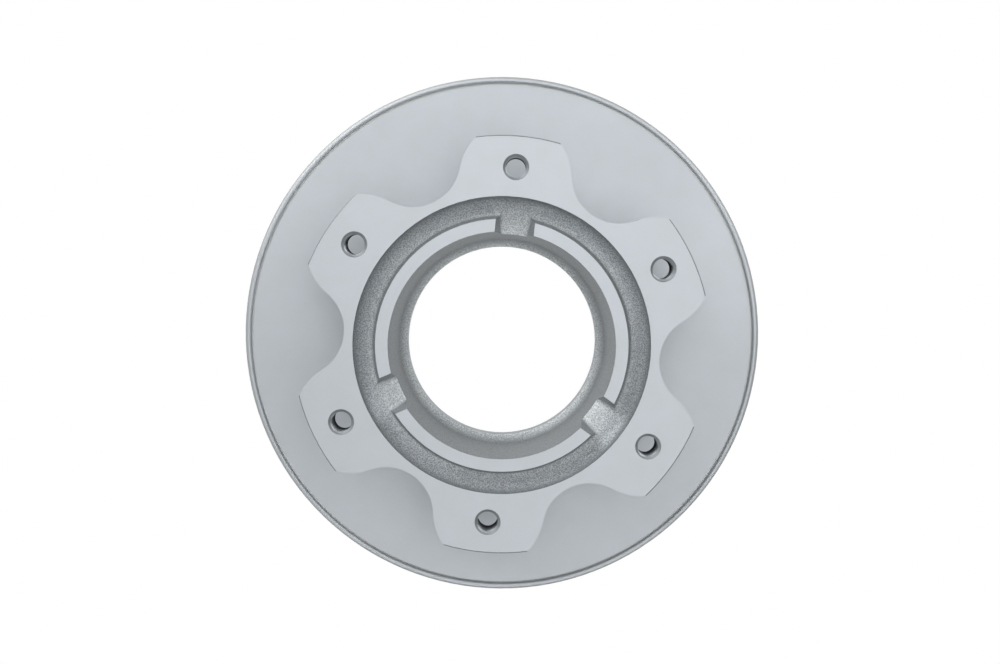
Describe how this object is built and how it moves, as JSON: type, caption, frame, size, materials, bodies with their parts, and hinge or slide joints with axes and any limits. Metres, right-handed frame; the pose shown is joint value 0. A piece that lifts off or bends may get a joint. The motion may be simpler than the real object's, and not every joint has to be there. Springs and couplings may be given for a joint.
{
  "type": "brake disc",
  "caption": "Ventilated brake disc with a deep hat, a lobed mounting flange with threaded bolt holes, raised pads inside a cast groove and a centring bore.",
  "frame": {"origin": "centre of the far friction face, on the disc's axis", "axes": "+Z along the disc's axis, from the far friction face towards the mounting face; +Y through one bolt hole"},
  "size_m": [0.29, 0.29, 0.1122],
  "materials": {
    "coated_iron": "zinc and aluminium flake coating over grey iron: satin on the turned faces, rough on the sand-cast ones"
  },
  "bodies": {
    "root": {"brake_disc": "coated_iron"}
  },
  "joints": []
}
